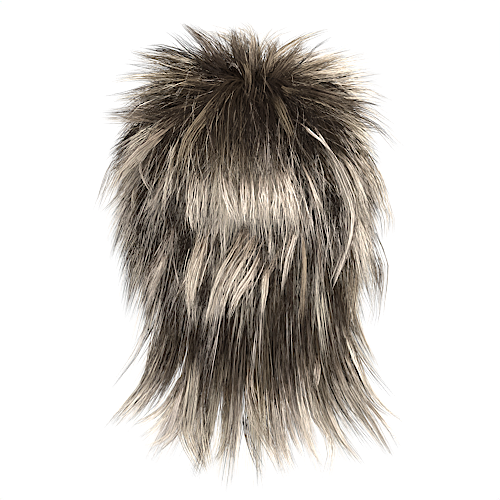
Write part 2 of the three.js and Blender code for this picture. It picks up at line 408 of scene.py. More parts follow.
# The locks that show most from behind, laid one by one on the row they belong to. Each has its number of
# strands, its width in millimetres and its tone at the start, the middle and the end, how gold it is
# from 0 to 1, and its path in the picture in pixels, which is carried onto the hair. A few also say how
# far over the hair they lie, in millimetres.
LOCK_COLUMNS = ("strands", "wide", "tone", "gold", "path", "over")
LOCKS = {"whorl_tier": [
    # Spikes, from left to right
    (60, (16, 10, 4), (0.1, 0.45, 0.5), 0.3,
     [(228, 76), (222, 66), (213, 55), (207, 45), (198, 36), (182, 22)]),
    (18, (14, 10, 10), (0.08, 0.25, 0.3), 0.2, [(220, 72), (205, 60), (190, 48), (172, 32)]),
    (18, (8, 9, 10), (0.12, 0.42, 0.4), 1.0, [(249, 92), (247, 76), (243, 64), (237, 55), (228, 46)]),
    (36, (18, 12, 10), (0.08, 0.35, 0.4), 0.4, [(240, 82), (238, 66), (235, 50), (231, 24)]),
    (22, (12, 8, 6), (0.08, 0.3, 0.4), 0.4, [(247, 86), (245, 66), (243, 50), (241, 26)]),
    (20, (14, 12, 12), (0.08, 0.25, 0.3), 0.2, [(234, 78), (228, 62), (221, 48), (213, 30)]),
    (14, (14, 11, 10), (0.2, 0.5, 0.7), 0.5, [(256, 84), (255, 70), (254, 56), (256, 34)]),
    (9, (16, 14, 14), (0.15, 0.4, 0.45), 0.6, [(246, 108), (251, 95), (254, 80), (252, 60)]),
    (7, (18, 18, 16), (0.12, 0.35, 0.35), 0.4, [(272, 104), (262, 94), (252, 84), (242, 70)]),
    (46, (14, 9, 6), (0.08, 0.45, 0.5), 0.6, [(262, 86), (267, 70), (270, 58), (273, 48), (279, 34)]),
    (46, (16, 11, 7), (0.08, 0.38, 0.5), 0.5,
     [(270, 88), (276, 80), (284, 68), (291, 57), (297, 47), (305, 37)]),
    (5, (4, 3, 3), (0.08, 0.2, 0.2), 0.2, [(290, 76), (300, 66), (308, 58), (318, 49), (331, 40)]),
], "top_tier": [
    # Left of the crown, falling to the side
    (24, (10, 9, 8), (0.25, 0.5, 0.6), 1.0, [(226, 92), (206, 116), (190, 140), (183, 160), (179, 180)]),
    (5, (3, 4, 7), (0.3, 0.72, 0.6), 0.1, [(207, 112), (208, 123), (212, 138), (216, 150), (221, 164)]),
    # Spikes, from left to right
    (56, (12, 9, 6), (0.25, 0.68, 0.85), 0.9,
     [(205, 84), (180, 85), (165, 87), (150, 91), (135, 97), (116, 103)]),
    (14, (6, 4, 3), (0.1, 0.4, 0.4), 0.3, [(190, 84), (165, 83), (145, 86), (125, 91), (106, 99)]),
    (40, (14, 9, 7), (0.25, 0.68, 0.9), 1.0, [(208, 78), (180, 78), (160, 77), (140, 76), (114, 79)]),
    (56, (16, 12, 5), (0.22, 0.62, 0.72), 0.8,
     [(214, 78), (195, 70), (180, 66), (165, 60), (150, 56), (132, 50)]),
    (32, (12, 7, 4), (0.06, 0.25, 0.3), 0.3, [(212, 72), (190, 62), (175, 55), (160, 49), (146, 45)]),
    (16, (16, 12, 14), (0.1, 0.3, 0.5), 0.2, [(200, 74), (175, 70), (150, 67), (124, 63)]),
    (46, (14, 9, 5), (0.08, 0.6, 0.75), 0.8, [(280, 84), (300, 73), (318, 67), (330, 62), (346, 56)]),
    (40, (12, 9, 10), (0.08, 0.65, 0.95), 0.7, [(284, 86), (305, 78), (325, 75), (337, 73), (355, 70)]),
    (10, (3, 2, 2), (0.05, 0.08, 0.1), 0.1, [(318, 80), (330, 83), (340, 88), (354, 99)]),
    (46, (12, 9, 5), (0.08, 0.42, 0.35), 0.5, [(296, 88), (320, 94), (335, 98), (350, 103), (375, 109)]),
    (40, (5, 9, 7), (0.3, 0.62, 0.75), 1.0,
     [(282, 88), (300, 95), (315, 100), (330, 105), (342, 114), (352, 123), (364, 134)]),
    (3, (1, 1, 2), (0.4, 0.8, 0.7), 0.1, [(264, 79), (275, 85), (288, 93), (300, 100), (318, 106)]),
    # Right of the crown, crossing the side
    (34, (8, 6, 5), (0.2, 0.45, 0.4), 1.0, [(268, 92), (275, 100), (282, 114), (288, 128), (293, 142)]),
], "crown_tier": [
    # Left of the crown, falling to the side
    (60, (5, 9, 8), (0.2, 0.85, 0.9), 0.6,
     [(190, 108), (164, 129), (152, 145), (140, 167), (127, 189), (117, 205), (107, 214)]),
    (40, (5, 7, 8), (0.2, 0.8, 0.9), 0.5,
     [(180, 118), (158, 140), (143, 152), (127, 171), (115, 190), (105, 200)]),
    (16, (8, 12, 12), (0.2, 0.55, 0.75), 0.5, [(140, 150), (126, 165), (115, 182), (106, 200), (100, 212)]),
    (9, (4, 5, 5), (0.5, 0.85, 0.9), 0.3, [(147, 150), (144, 166), (147, 180), (153, 191), (160, 202)]),
    (12, (4, 3, 2), (0.3, 0.9, 1.0), 0.2, [(178, 158), (168, 175), (161, 188), (155, 200), (150, 210)]),
    # Spikes, from left to right
    (30, (14, 9, 5), (0.12, 0.45, 0.6), 0.4, [(185, 116), (160, 117), (140, 115), (122, 115), (104, 114)]),
    (26, (12, 8, 4), (0.08, 0.5, 0.85), 0.5, [(175, 124), (150, 121), (130, 121), (106, 120)]),
    (7, (8, 5, 4), (0.08, 0.2, 0.2), 0.1, [(336, 116), (352, 123), (370, 127), (394, 130)]),
    # Right of the crown, crossing the side
    (44, (2, 10, 3), (0.5, 0.95, 1.0), 0.35,
     [(303, 114), (314, 132), (325, 149), (333, 164), (340, 180), (346, 197), (349, 212), (348, 226),
      (345, 244), (339, 263), (333, 279), (328, 290)], 4),
    (18, (5, 6, 3), (0.9, 1.0, 1.0), 0.25,
     [(345, 192), (349, 212), (348, 226), (345, 244), (339, 263), (333, 279), (327, 293)]),
    (8, (2, 2, 4), (0.5, 1.0, 0.9), 0.15, [(303, 114), (314, 132), (325, 149), (334, 166)], 5),
    (8, (3, 2, 2), (0.35, 0.9, 0.95), 0.2, [(291, 114), (307, 132), (321, 144), (332, 160)], 5),
    (60, (6, 9, 8), (0.4, 1.0, 0.95), 0.45,
     [(330, 145), (342, 162), (350, 178), (356, 195), (360, 212), (362, 226)]),
    # Dark hair laid in the gaps between the locks, partly the wig's dark hair and partly painted shade in
    # the gaps
    (40, (10, 14, 12), (0.05, 0.06, 0.1), 0.3, [(178, 124), (171, 142), (166, 160), (164, 182)]),
    (70, (22, 26, 20), (0.04, 0.05, 0.08), 0.3, [(298, 102), (306, 124), (311, 144), (314, 168)]),
], "fringe_tier": [
    # Left of the crown, falling to the side
    (14, (4, 4, 3), (0.3, 0.9, 0.9), 0.7, [(140, 180), (136, 196), (135, 206), (134, 218)]),
    (10, (3, 2, 2), (0.3, 0.95, 0.95), 0.2, [(168, 180), (166, 197), (165, 212), (165, 228)]),
    # Right of the crown, crossing the side
    (30, (14, 20, 16), (0.4, 0.85, 0.8), 0.6,
     [(352, 150), (364, 168), (373, 186), (379, 205), (383, 224), (384, 242)]),
    (22, (12, 14, 12), (0.2, 0.6, 0.7), 0.5, [(366, 228), (373, 252), (378, 276), (377, 300), (372, 330)]),
    (34, (4, 6, 6), (0.3, 0.95, 0.9), 0.25, [(301, 158), (306, 172), (312, 190), (319, 210), (322, 228)]),
    # Bright ends across the back
    (50, (12, 14, 8), (0.2, 0.95, 1.0), 0.4, [(200, 162), (195, 180), (193, 198), (193, 216), (196, 236)]),
    (30, (8, 12, 6), (0.3, 0.95, 0.95), 0.2, [(222, 166), (226, 182), (230, 198), (235, 214), (241, 228)]),
    (24, (12, 12, 8), (0.2, 0.9, 0.85), 0.2, [(246, 168), (245, 190), (246, 210), (247, 230)]),
    (30, (14, 16, 10), (0.2, 0.9, 0.85), 0.2, [(263, 168), (264, 188), (265, 208), (264, 228)]),
    (44, (14, 18, 10), (0.3, 0.95, 0.95), 0.3,
     [(280, 160), (284, 178), (289, 196), (292, 212), (294, 226)]),
    (5, (2, 2, 2), (0.6, 1.0, 1.0), 0.1, [(246, 180), (247, 192), (251, 206), (257, 222)]),
    # Dark hair laid in the gaps between the locks, partly the wig's dark hair and partly painted shade in
    # the gaps
    (36, (10, 14, 8), (0.08, 0.06, 0.08), 0.2, [(330, 178), (335, 204), (336, 232)]),
], "temple_tier": [
    # Slanting locks under the crown, and long narrow ones
    (32, (9, 8, 12), (0.2, 0.85, 0.8), 0.3,
     [(178, 218), (170, 236), (161, 254), (149, 277), (142, 293)], -1),
    (22, (4, 5, 4), (0.2, 0.95, 0.85), 0.4, [(172, 240), (167, 256), (158, 278), (150, 300), (146, 314)]),
    (6, (2, 1, 2), (0.3, 0.8, 0.9), 0.0, [(175, 218), (174, 249), (177, 273), (182, 292)]),
    (24, (9, 8, 4), (0.6, 0.85, 0.75), 0.3, [(297, 222), (291, 240), (286, 257), (284, 272), (282, 297)]),
    (22, (6, 6, 6), (0.5, 0.6, 0.5), 0.7, [(303, 228), (303, 262), (301, 300), (297, 334)]),
    (12, (4, 4, 4), (0.5, 0.75, 0.5), 0.3, [(319, 222), (317, 246), (318, 266), (320, 292)]),
    # Dark hair laid in the gaps between the locks, partly the wig's dark hair and partly painted shade in
    # the gaps
    (34, (10, 12, 10), (0.08, 0.05, 0.08), 0.2, [(190, 226), (187, 248), (185, 272)]),
    (40, (8, 16, 14), (0.1, 0.07, 0.1), 0.3, [(177, 188), (172, 210), (167, 232), (161, 256)]),
    (26, (8, 12, 12), (0.1, 0.1, 0.14), 0.3, [(150, 206), (146, 228), (142, 252)]),
    (22, (6, 8, 6), (0.12, 0.1, 0.12), 0.3, [(220, 228), (217, 252), (214, 278)]),
    (16, (8, 10, 10), (0.15, 0.12, 0.12), 0.3, [(290, 262), (289, 296), (287, 332)]),
    (24, (8, 9, 8), (0.15, 0.1, 0.1), 0.2, [(311, 224), (311, 262), (310, 302)]),
], "ear_tier": [
    # Slanting locks under the crown, and long narrow ones
    (64, (12, 13, 5), (0.5, 0.92, 0.9), 0.5,
     [(206, 226), (204, 246), (198, 266), (194, 286), (194, 306), (195, 334)]),
    (10, (6, 6, 8), (0.4, 0.85, 0.8), 0.3, [(200, 258), (190, 276), (181, 291), (172, 306)]),
    (44, (7, 10, 4), (0.2, 0.85, 0.95), 0.5,
     [(252, 218), (241, 240), (232, 258), (222, 276), (215, 295), (210, 316), (205, 342)]),
    (38, (6, 9, 3), (0.2, 0.9, 1.0), 0.5,
     [(260, 228), (249, 250), (239, 268), (229, 287), (224, 302), (220, 326)]),
    (32, (4, 7, 4), (0.2, 0.9, 1.0), 0.4,
     [(265, 242), (256, 262), (248, 278), (240, 290), (234, 303), (227, 321)]),
    (18, (44, 44, 36), (0.3, 0.8, 0.75), 0.3, [(264, 226), (252, 252), (239, 280), (229, 306)]),
    (8, (5, 6, 6), (0.2, 0.7, 0.9), 0.2, [(258, 268), (249, 285), (242, 299), (235, 313)]),
    (28, (3, 7, 2), (0.3, 0.9, 1.0), 0.5, [(269, 258), (266, 276), (264, 292), (262, 307), (261, 322)]),
    (5, (2, 2, 2), (0.6, 0.95, 0.7), 0.2, [(270, 232), (269, 248), (266, 268)]),
    (10, (6, 5, 4), (0.3, 0.65, 0.6), 0.4, [(283, 242), (273, 262), (265, 277), (256, 294)]),
    # Dark hair laid in the gaps between the locks, partly the wig's dark hair and partly painted shade in
    # the gaps
    (26, (6, 10, 8), (0.1, 0.08, 0.1), 0.2, [(212, 270), (207, 296), (203, 326)]),
    (24, (6, 9, 8), (0.1, 0.06, 0.08), 0.2, [(278, 250), (276, 276), (272, 302)]),
    (24, (12, 14, 12), (0.15, 0.5, 0.6), 0.7, [(350, 236), (349, 262), (347, 290), (344, 316), (344, 345)]),
], "neck_tier": [
    # Side locks, which flare outwards
    (60, (9, 7, 14), (0.15, 0.85, 0.95), 0.6,
     [(160, 320), (158, 350), (154, 370), (146, 388), (134, 403), (112, 428)]),
    (20, (5, 4, 7), (0.15, 0.9, 1.0), 0.4, [(160, 350), (155, 384), (145, 405), (128, 424)]),
    (60, (10, 10, 5), (0.25, 0.9, 0.9), 0.6,
     [(340, 330), (340, 356), (342, 376), (350, 394), (359, 409), (371, 429), (389, 458)]),
    (36, (7, 6, 8), (0.3, 0.75, 0.8), 0.6,
     [(349, 330), (350, 354), (355, 371), (364, 390), (377, 407), (396, 420)]),
    (14, (3, 3, 4), (0.2, 0.9, 1.0), 0.3, [(346, 372), (357, 392), (371, 409), (387, 430), (398, 450)]),
], "nape_tier": [
    # Ends of the nape
    (34, (6, 6, 9), (0.2, 0.9, 0.95), 0.4, [(190, 366), (180, 384), (168, 405), (152, 419), (135, 426)]),
    (44, (9, 9, 9), (0.2, 0.9, 0.9), 0.6, [(192, 374), (184, 393), (171, 411), (157, 428), (142, 440)]),
    (16, (5, 4, 4), (0.2, 0.95, 1.0), 0.4, [(188, 398), (182, 419), (173, 432), (161, 442), (143, 448)]),
    (8, (4, 3, 3), (0.2, 0.9, 1.0), 0.4, [(186, 420), (175, 437), (157, 455)]),
    (80, (14, 15, 7), (0.1, 0.85, 0.95), 0.6,
     [(194, 372), (190, 400), (188, 422), (192, 442), (200, 459), (208, 474)]),
    (80, (14, 16, 8), (0.1, 0.85, 0.95), 0.6, [(206, 372), (204, 400), (203, 430), (205, 450), (210, 470)]),
    (60, (12, 12, 7), (0.1, 0.6, 0.85), 0.8, [(226, 376), (229, 404), (230, 428), (225, 447), (214, 466)]),
    (14, (10, 10, 8), (0.1, 0.5, 0.7), 0.2, [(240, 400), (238, 424), (236, 444), (236, 464)]),
    (14, (8, 9, 8), (0.1, 0.6, 0.9), 0.2, [(246, 404), (248, 432), (255, 454), (266, 480)]),
    (70, (3, 13, 9), (0.4, 0.95, 1.0), 0.4, [(249, 360), (251, 396), (259, 420), (271, 444), (285, 477)]),
    (60, (9, 11, 7), (0.2, 0.9, 1.0), 0.4, [(272, 376), (273, 400), (276, 424), (283, 449), (294, 474)]),
    (34, (8, 7, 5), (0.2, 0.8, 0.95), 0.4, [(284, 376), (285, 404), (289, 428), (302, 458)]),
    (26, (4, 4, 4), (0.3, 0.9, 1.0), 0.4, [(284, 376), (292, 409), (303, 432), (314, 455), (323, 468)]),
    (44, (7, 6, 7), (0.4, 0.95, 0.95), 0.4,
     [(305, 350), (305, 384), (310, 402), (314, 416), (324, 429), (330, 446), (329, 462), (324, 479)]),
    (20, (5, 4, 3), (0.4, 0.9, 0.9), 0.4, [(319, 352), (316, 372), (313, 388), (309, 402), (313, 416)]),
    (40, (8, 7, 5), (0.2, 0.9, 0.95), 0.5,
     [(320, 376), (323, 400), (330, 418), (341, 440), (352, 453), (362, 466)]),
]}

# The view that the paths are drawn in: how far behind the wig it is taken, its height and the middle of
# the picture in pixels. The hair at a place in it is looked for among spots on the rows near by.
VIEW_DISTANCE = 2.5
VIEW_HEIGHT = -0.175
PICTURE_MIDDLE = 250
NEAR_PIXELS = 7
SPOT_TURNS = np.arange(-100, 101, 2.0)
SPOT_SHARES = np.linspace(0.2, 0.9, 36)

# How a strand thins to its point, how much paler the point is, and the corners' places in a column
POINTED = 0.75
PALER_TIP = 0.05
PALEST = 0.99
CORNER_PLACES = [0.2, 0.5, 0.8]

# How the locks of a row differ, in degrees, millimetres and shares. Pairs of lists run with the root.
WHORL_HOLE = 1.0
WISP_SPILL = 5
STRAND_SPILL = 4
CAP_ANGLES = (12, 150)
DOWN_COUNTS = 0.6
LONGEST = 1.06
FEW_LONG = 2.6
HANGING_LENGTH = (0.94, 1.06)
LOCK_DRIFT = 4.0
BACK_STEADY = 0.5
TOP_DRIFT = ([12, 50], [10, 0])
LOCK_SHIFT = 6
BACK_FLAT = 0.75
LOCK_PULL = (0.5, 0.9)
BLOND_VARIES = ([22, 42], [1.1, 2.2])
BLOND_LIMITS = (0.04, 0.96)
LOCK_HUE = 0.15

# How the wisps in a lock differ
GATHER_STILLS = ([0.4, 0.95], [1.0, 0.35])
WISP_LENGTH = (0.88, 1.02)
WISP_DRIFT = 2.2
WISP_OFF = 1.8
WISP_PULL = (0.35, 0.9)
WISP_GATHER = 0.9
WISP_BEGIN = 0.13

# How single strands differ. Loose ones fly off, inner ones fill a row from below, light ones are pale
# from near the root and cross the others, and bold ones are thick.
LOOSE_SHARE = 0.09
INNER_SHARE = 0.17
BOLD_SHARE = 0.35
LIGHT_SHARE = ([40, 80], [0.16, 0.11])
LIGHT_FROM = 6
FEW_SHORT = 2.5
INNER_LENGTH = 0.82
LOOSE_PULL = 0.1
INNER_TO_WISP = 0.3
INNER_TO_LOCK = 0.15
LOOSE_SLANT = 8.0
LIGHT_SLANT = ([50, 80], [9.0, 6.5])
PLAIN_SLANT = 2.0
TOP_SLANT = ([12, 60], [6.0, 0.0])
LOOSE_SWAY = 4.0
PLAIN_SWAY = 1.0
SWAY_BENDS = 3.5
TO_WISP, TO_LOCK, TO_DRIFT, TO_OFF = 0.8, 1.3, 1.4, 1.5
INNER_DEPTH = -6
LIGHT_DEPTH = (1, 5)
PLAIN_DEPTH = (-4, 4)
BELLY_ENDS = 0.85
PULL_FLATTENS = 0.6
LOOSE_OFF = (2, 4)
PLAIN_OFF = (0, 0.8)
STRAND_SHIFT = 2
HALF_DEGREE = 0.5
STRAND_RADIUS = 0.00030
LOWER_THICKER = 0.0000010
RADIUS_VARIES = (0.6, 1.35)
FINE, COVERED, BOLD, PLAIN = 0.75, 1.9, 1.45, 0.95

# The tones of strands: where they pale, and the tones of brown, of blond with a painted sheen at the back
# of the upper rows, and of the root
OTHER_TONE = ([110, 130], [0.06, 0.17])
INNER_BLOND = 0.8
STRAND_BEGIN = 0.08
BROWN_LATE = 0.15
PALING_SHARE = 0.3
PALING_DROP = 20
LATE_DROP = 90
STANDING = ([30, 50], [1, 0])
BROWN_TONE, BROWN_VARIES, BROWN_STANDING = 0.03, 0.36, 0.42
BLOND_TONE, BLOND_RISES, BLOND_STANDING, BLOND_BACK_SHEEN = 0.91, 0.1, 0.14, 0.07
UPPER_ROOTS = 70
BOLD_BLOND_TONE, BOLD_BROWN_TONE, PLAIN_TONE = 0.15, 0.2, 0.1
STILL_TONE = 0.4
DARKEST = 0.02
ROOT_TONE = ([100, 120], [0.22, 0.7])
LIGHT_ROOT = (0.25, 0.72)

# How a listed lock is laid. One that runs sideways or up is a spike: it keeps to a straight line in
# depth and comes out of the hair only towards its tip. steep is how fast the depth may change, bends the
# degree of its curve, first how late a strand may begin. Heights off the hair are in millimetres.
LINE_STEPS = 40
SPIKE_SLOPE = 0.6
SPIKE = dict(steep=1.0, bends=1, first=0.25, sunk=-4)
LYING = dict(steep=0.45, bends=2, first=0.4)
ROOT_SUNK = -7
RISE_SHARE = 0.25
RISE_LENGTH = 0.015
OVER_LEAST = 0.8
OVER_PALE = 1.6
LAID_STEPS = 5
POINTS_A_STEP = 4
LAID_DENSITY = 1.35
LAID_SPREAD = 0.65
LAID_WIDEST = 2
LAID_KEEPS = 0.5
LAID_SHORTER = 0.5
LAID_FEW_SHORT = 1.5
LAID_BOW = 0.3
LAID_BENDS = (0.7, 1.6)
LAID_DEEP = 1.6
LAID_DEEPEST = 0.007
LAID_RADIUS = 0.00027
LAID_RADIUS_VARIES = (0.6, 1.4)
LAID_HUE = 0.12
SHADED_SHARE = 0.36
SHADED = (0.2, 0.6)
LIT = (0.78, 1.12)
WIDTH_PLACES = [0, 0.5, 1]
TONE_PLACES = [0, 0.45, 1]


def fibre_material():
    """Dark to pale along the strand, ash to gold over the kinds, each kind a little brighter or duller."""
    shine = dict(Roughness=FIBRE_ROUGHNESS, Specular_IOR_Level=FIBRE_SHINE)
    material, wire = new_material("hair fibre", **shine)
    _, kind, tone = map_places(wire)
    column = wire.math("FLOOR", kind * KINDS)
    chance = wire.node("ShaderNodeTexWhiteNoise", {"noise_dimensions": "1D"}, {"W": column})
    hue = mixed(kind, ramp(ASH, tone), ramp(GOLD, tone))
    bright = FIBRE_DULLEST + chance * FIBRE_BRIGHTER
    colour = wire.node("ShaderNodeVectorMath", {"operation": "SCALE"}, {0: hue, "Scale": bright})
    return plugged(material, Base_Color=colour)


def falls(root, turn, column):
    """How hair falls, for a root and a turn: a value there, and the ones at its end and at its side."""
    c = np.cos(np.radians(turn))
    back, side, front = [
        np.interp(root, ROOTS, [tier[station][column] for tier in TIERS.values()])
        for station in ("back", "side", "front")
    ]
    end = np.where(c >= 0, back, front)
    return side + (end - side) * c * c, end, side


def hair_point(root, turn, along, shift=0.0):
    """Points on the surface that hair of one root makes: up from the cap, over and down to the tips.

    shift makes the hair fall like hair that is sewn on further down, in degrees.
    """
    base = on_form(turn, root, SEAT)
    down = unit(on_form(turn, root + 1.0, SEAT) - base)
    out = unit(on_form(turn, root, SEAT + MM) - base)
    like = root + shift
    lift = np.radians(falls(like, turn, LIFT)[0])[..., None]
    handle = MM * falls(like, turn, HANDLE)[0][..., None]
    bend = base + handle * (np.cos(lift) * down + np.sin(lift) * out)
    _, reach, aside = falls(like, turn, OUT)
    height = falls(like, turn, HEIGHT)[0]
    swing = np.radians(turn)
    tip = MM * np.stack([aside * np.sin(swing), -reach * np.cos(swing), height], -1)
    s = along[..., None]
    return (1 - s) ** 2 * base + 2 * s * (1 - s) * bend + s ** 2 * tip


def turned(to, start):
    """The short way round from one turn to another."""
    return (to - start + 180) % 360 - 180


def hanging(turn):
    """How far hair at a turn hangs: 1 at the back, and 0 from the sides on, where it stands."""
    return np.maximum(0, np.cos(np.radians(turn)))


def nearest(turn, root, centre_turn, centre_root):
    """The number of the nearest centre on the cap."""
    narrow = np.sin(np.radians(np.clip(root, *CAP_ANGLES)))[:, None]
    across = turned(centre_turn[None], turn[:, None]) * narrow
    return np.hypot(across, DOWN_COUNTS * (centre_root[None] - root[:, None])).argmin(1)


def scattered(count, span, low, high, rng):
    """Even but unordered places over a row: turns and roots."""
    step = 2 * span / count
    turn = -span + step * (np.arange(count) + 0.5 + rng.uniform(-0.5, 0.5, count))
    return turn, rng.uniform(low, high, count)


def prisms(path, radius, across):
    """Three-sided closed strands that follow many paths at once and run out to a point.

    path is strands by steps by 3, radius strands by steps, across a sideways vector of each strand.
    Gives the corners and the triangles. The last step of a path is its point.
    """
    count, steps, _ = path.shape
    ahead = unit(np.gradient(path, axis=1))
    side = unit(np.cross(ahead, across[:, None, :]))
    other = np.cross(ahead, side)
    rings = []
    for corner in range(3):
        angle = 2 * math.pi * corner / 3
        rings.append(path + radius[..., None] * (math.cos(angle) * side + math.sin(angle) * other))
    ring = np.stack(rings, 2)[:, :-1]
    corners = np.concatenate([ring.reshape(count, -1, 3), path[:, -1:]], 1)
    faces = [(2, 1, 0)]
    for step in range(steps - 2):
        for corner in range(3):
            a = 3 * step + corner
            b = 3 * step + (corner + 1) % 3
            faces.append((a, b, b + 3))
            faces.append((a, b + 3, a + 3))
    last = 3 * (steps - 2)
    tip = 3 * (steps - 1)
    for corner in range(3):
        faces.append((last + corner, last + (corner + 1) % 3, tip))
    per_strand = corners.shape[1]
    triangles = np.array(faces)[None] + per_strand * np.arange(count)[:, None, None]
    return corners.reshape(-1, 3), triangles.reshape(-1, 3)


def fibres(path, thick, across, tone, hue):
    """Strands along paths, with their places on the colour map: a column for the kind, tone along it."""
    steps = path.shape[1]
    t = np.linspace(0, 1, steps)[None]
    column = np.clip(hue * KINDS, 0, KINDS - 1).astype(int)
    corners, triangles = prisms(path, thick[:, None] * (1 - POINTED * t ** 3), across)
    corner_u = np.append(np.tile(CORNER_PLACES, steps - 1), CORNER_PLACES[1])
    u = (column[:, None] + corner_u[None]) / KINDS
    tone = np.clip(tone + PALER_TIP * t, 0, PALEST)
    v = np.concatenate([np.repeat(tone[:, :-1], 3, axis=1), tone[:, -1:]], 1)
    return corners, triangles, np.stack([u, v], -1).reshape(-1, 2)


def lock_habits(name, turn, root, rng):
    """The length, drift, stand and colour of each lock of a row."""
    tier = TIERS[name]
    count = len(turn)
    hang = hanging(turn)
    to_front = np.maximum(0, -np.cos(np.radians(turn)))
    short = tier["short"][0] + (tier["short"][1] - tier["short"][0]) * to_front
    standing = short + (LONGEST - short) * rng.uniform(0, 1, count) ** FEW_LONG
    length = standing + (rng.uniform(*HANGING_LENGTH, count) - standing) * hang
    drift = rng.normal(0, LOCK_DRIFT, count) * (1 - BACK_STEADY * hang) + tier["lean"] * hang
    drift = drift + rng.normal(0, 1, count) * np.interp(root, *TOP_DRIFT)
    shift = rng.normal(0, LOCK_SHIFT, count) * (1 - hang)
    off = rng.normal(0, 1, count) * tier["stray"] * (1 - BACK_FLAT * hang)
    off = off + np.interp(turn, FLARE_TURNS, FLARE.get(name, [0] * len(FLARE_TURNS)))
    pull = rng.uniform(*LOCK_PULL, count) * (1 - (1 - tier["gather"]) * hang)
    blond = np.interp(turn, BLOND_TURNS, BLOND[name])
    vary = np.interp(tier["root"], *BLOND_VARIES)
    blond = np.clip(blond + rng.normal(0, 1, count) * vary * blond * (1 - blond), *BLOND_LIMITS)
    hue = rng.uniform(0, 1, count)
    return dict(turn=turn, root=root, length=length, drift=drift, shift=shift, off=off, pull=pull,
                blond=blond, hue=hue)


def stillness(tier):
    """How little the strands of a row wander: 1 where they do most, less in gathered rows."""
    return np.interp(tier["gather"], *GATHER_STILLS)


def wisp_habits(tier, turn, root, locks, rng):
    """The lock that each wisp of a row belongs to, and its length, drift, stand and colour."""
    count = len(turn)
    lock = nearest(turn, root, locks["turn"], locks["root"])
    length = rng.uniform(*WISP_LENGTH, count)
    drift = rng.normal(0, WISP_DRIFT, count) * stillness(tier)
    off = rng.normal(0, WISP_OFF, count)
    pull = rng.uniform(*WISP_PULL, count) * (1 - (WISP_GATHER - tier["gather"]) * hanging(turn))
    fair = rng.uniform(0, 1, count) < locks["blond"][lock]
    tone = rng.uniform(0, 1, count)
    begin = rng.normal(0, WISP_BEGIN, count)
    return dict(turn=turn, root=root, lock=lock, length=length, drift=drift, off=off, pull=pull,
                fair=fair, tone=tone, begin=begin)


def strand_habits(tier, turn, root, full_length, rng):
    """The kind of each strand of a row, its length, and how it slants and sways."""
    count = len(root)
    loose = rng.uniform(0, 1, count) < LOOSE_SHARE
    inner = (rng.uniform(0, 1, count) < INNER_SHARE) & ~loose
    bold = rng.uniform(0, 1, count) < BOLD_SHARE
    length = full_length * (1 - tier["taper"] * rng.uniform(0, 1, count) ** FEW_SHORT)
    length = np.where(inner, INNER_LENGTH * length, length)
    picked = rng.uniform(0, 1, count) < np.interp(root, *LIGHT_SHARE)
    light = picked & ~inner & ~loose & (root > LIGHT_FROM)
    wide = np.where(loose, LOOSE_SLANT, np.where(light, np.interp(root, *LIGHT_SLANT), PLAIN_SLANT))
    slant = rng.normal(0, 1, count) * (wide + np.interp(root, *TOP_SLANT)) * stillness(tier)
    sway = rng.normal(0, 1, count) * np.where(loose, LOOSE_SWAY, PLAIN_SWAY)
    phase = rng.uniform(0, 2 * math.pi, count)
    return dict(turn=turn, root=root, loose=loose, inner=inner, bold=bold, light=light, length=length,
                slant=slant, sway=sway, phase=phase)


def strand_paths(tier, strand, wisp, lock, rng):
    """The line of each strand, its sideways vectors, and how far along full hair each step is."""
    turn, root = strand["turn"], strand["root"]
    loose, inner = strand["loose"], strand["inner"]
    count = len(root)
    t = np.linspace(0, 1, tier["steps"] + 1)[None]
    along = strand["length"][:, None] * t
    pull_wisp = np.where(loose, LOOSE_PULL, np.where(inner, INNER_TO_WISP, wisp["pull"]))
    pull_lock = np.where(loose, LOOSE_PULL, np.where(inner, INNER_TO_LOCK, lock["pull"]))
    path_turn = (
        turn[:, None]
        + (turned(wisp["turn"], turn) * pull_wisp)[:, None] * t ** TO_WISP
        + (turned(lock["turn"], wisp["turn"]) * pull_lock)[:, None] * t ** TO_LOCK
        + (lock["drift"] + wisp["drift"] + strand["slant"])[:, None] * t ** TO_DRIFT
        + strand["sway"][:, None] * np.sin(SWAY_BENDS * t + strand["phase"][:, None]) * t
    )
    path_root = root[:, None] + ((wisp["root"] - root) * pull_wisp)[:, None] * t
    raised = rng.uniform(*LIGHT_DEPTH, count)
    depth = np.where(strand["light"], raised, rng.uniform(*PLAIN_DEPTH, count))
    depth = np.where(inner, INNER_DEPTH, depth)
    belly = depth[:, None] * np.sin(math.pi * np.minimum(BELLY_ENDS, t))
    belly = belly * (1 - PULL_FLATTENS * pull_wisp[:, None] * t)
    flown = rng.normal(*LOOSE_OFF, count)
    flown = np.where(loose, flown, rng.normal(*PLAIN_OFF, count))
    off = belly + (lock["off"] + wisp["off"])[:, None] * t ** TO_OFF + flown[:, None] * t
    shift = (lock["shift"] + rng.normal(0, STRAND_SHIFT, count))[:, None]
    middle = hair_point(path_root, path_turn, along, shift)
    right = hair_point(path_root, path_turn + HALF_DEGREE, along)
    across = right - hair_point(path_root, path_turn - HALF_DEGREE, along)
    out = unit(np.cross(np.gradient(middle, axis=1), across))
    return middle + MM * off[..., None] * out, across, along


